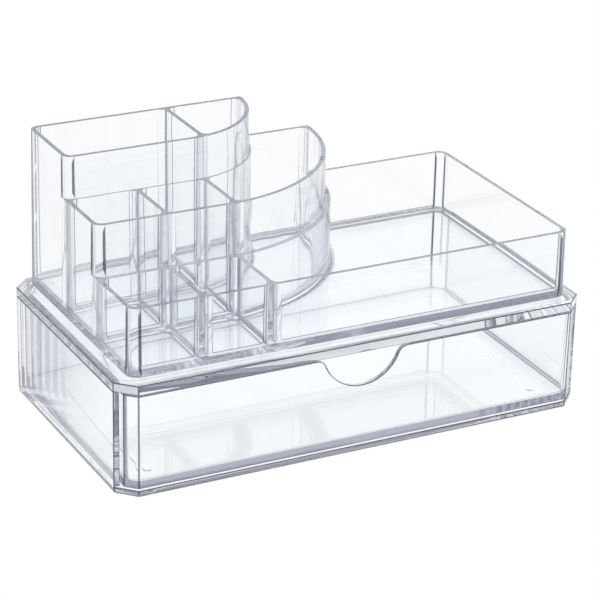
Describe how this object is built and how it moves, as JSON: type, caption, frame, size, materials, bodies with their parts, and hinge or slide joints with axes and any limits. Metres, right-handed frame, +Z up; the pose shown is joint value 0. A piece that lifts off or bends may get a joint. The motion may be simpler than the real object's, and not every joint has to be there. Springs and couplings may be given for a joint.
{
  "type": "desk organizer",
  "caption": "Clear two-level desk organizer: a low case with cut corners and a full-width drawer, and a lift-off tray with three stepped tiers of cups and an open tray",
  "frame": {"origin": "middle of the case's footprint, at the table", "axes": "+X to the right along the long side, +Y to the back, +Z up; the drawer opens towards -Y"},
  "size_m": [0.238, 0.132, 0.1326],
  "materials": {
    "case_plastic": "clear polished",
    "drawer_plastic": "clear polished",
    "tray_plastic": "clear polished"
  },
  "bodies": {
    "case": {"case_body": "case_plastic", "case_lid": "case_plastic"},
    "drawer": {"drawer": "drawer_plastic"},
    "tray": {"tiered_tray": "tray_plastic"}
  },
  "joints": [
    {"name": "drawer_slide", "type": "slide", "parent": "case", "child": "drawer", "axis": [0, -1, 0], "range_m": [0, 0.11]},
    {"name": "tray_lift", "type": "slide", "parent": "case", "child": "tray", "axis": [0, 0, 1], "range_m": [0, 0.05]}
  ]
}
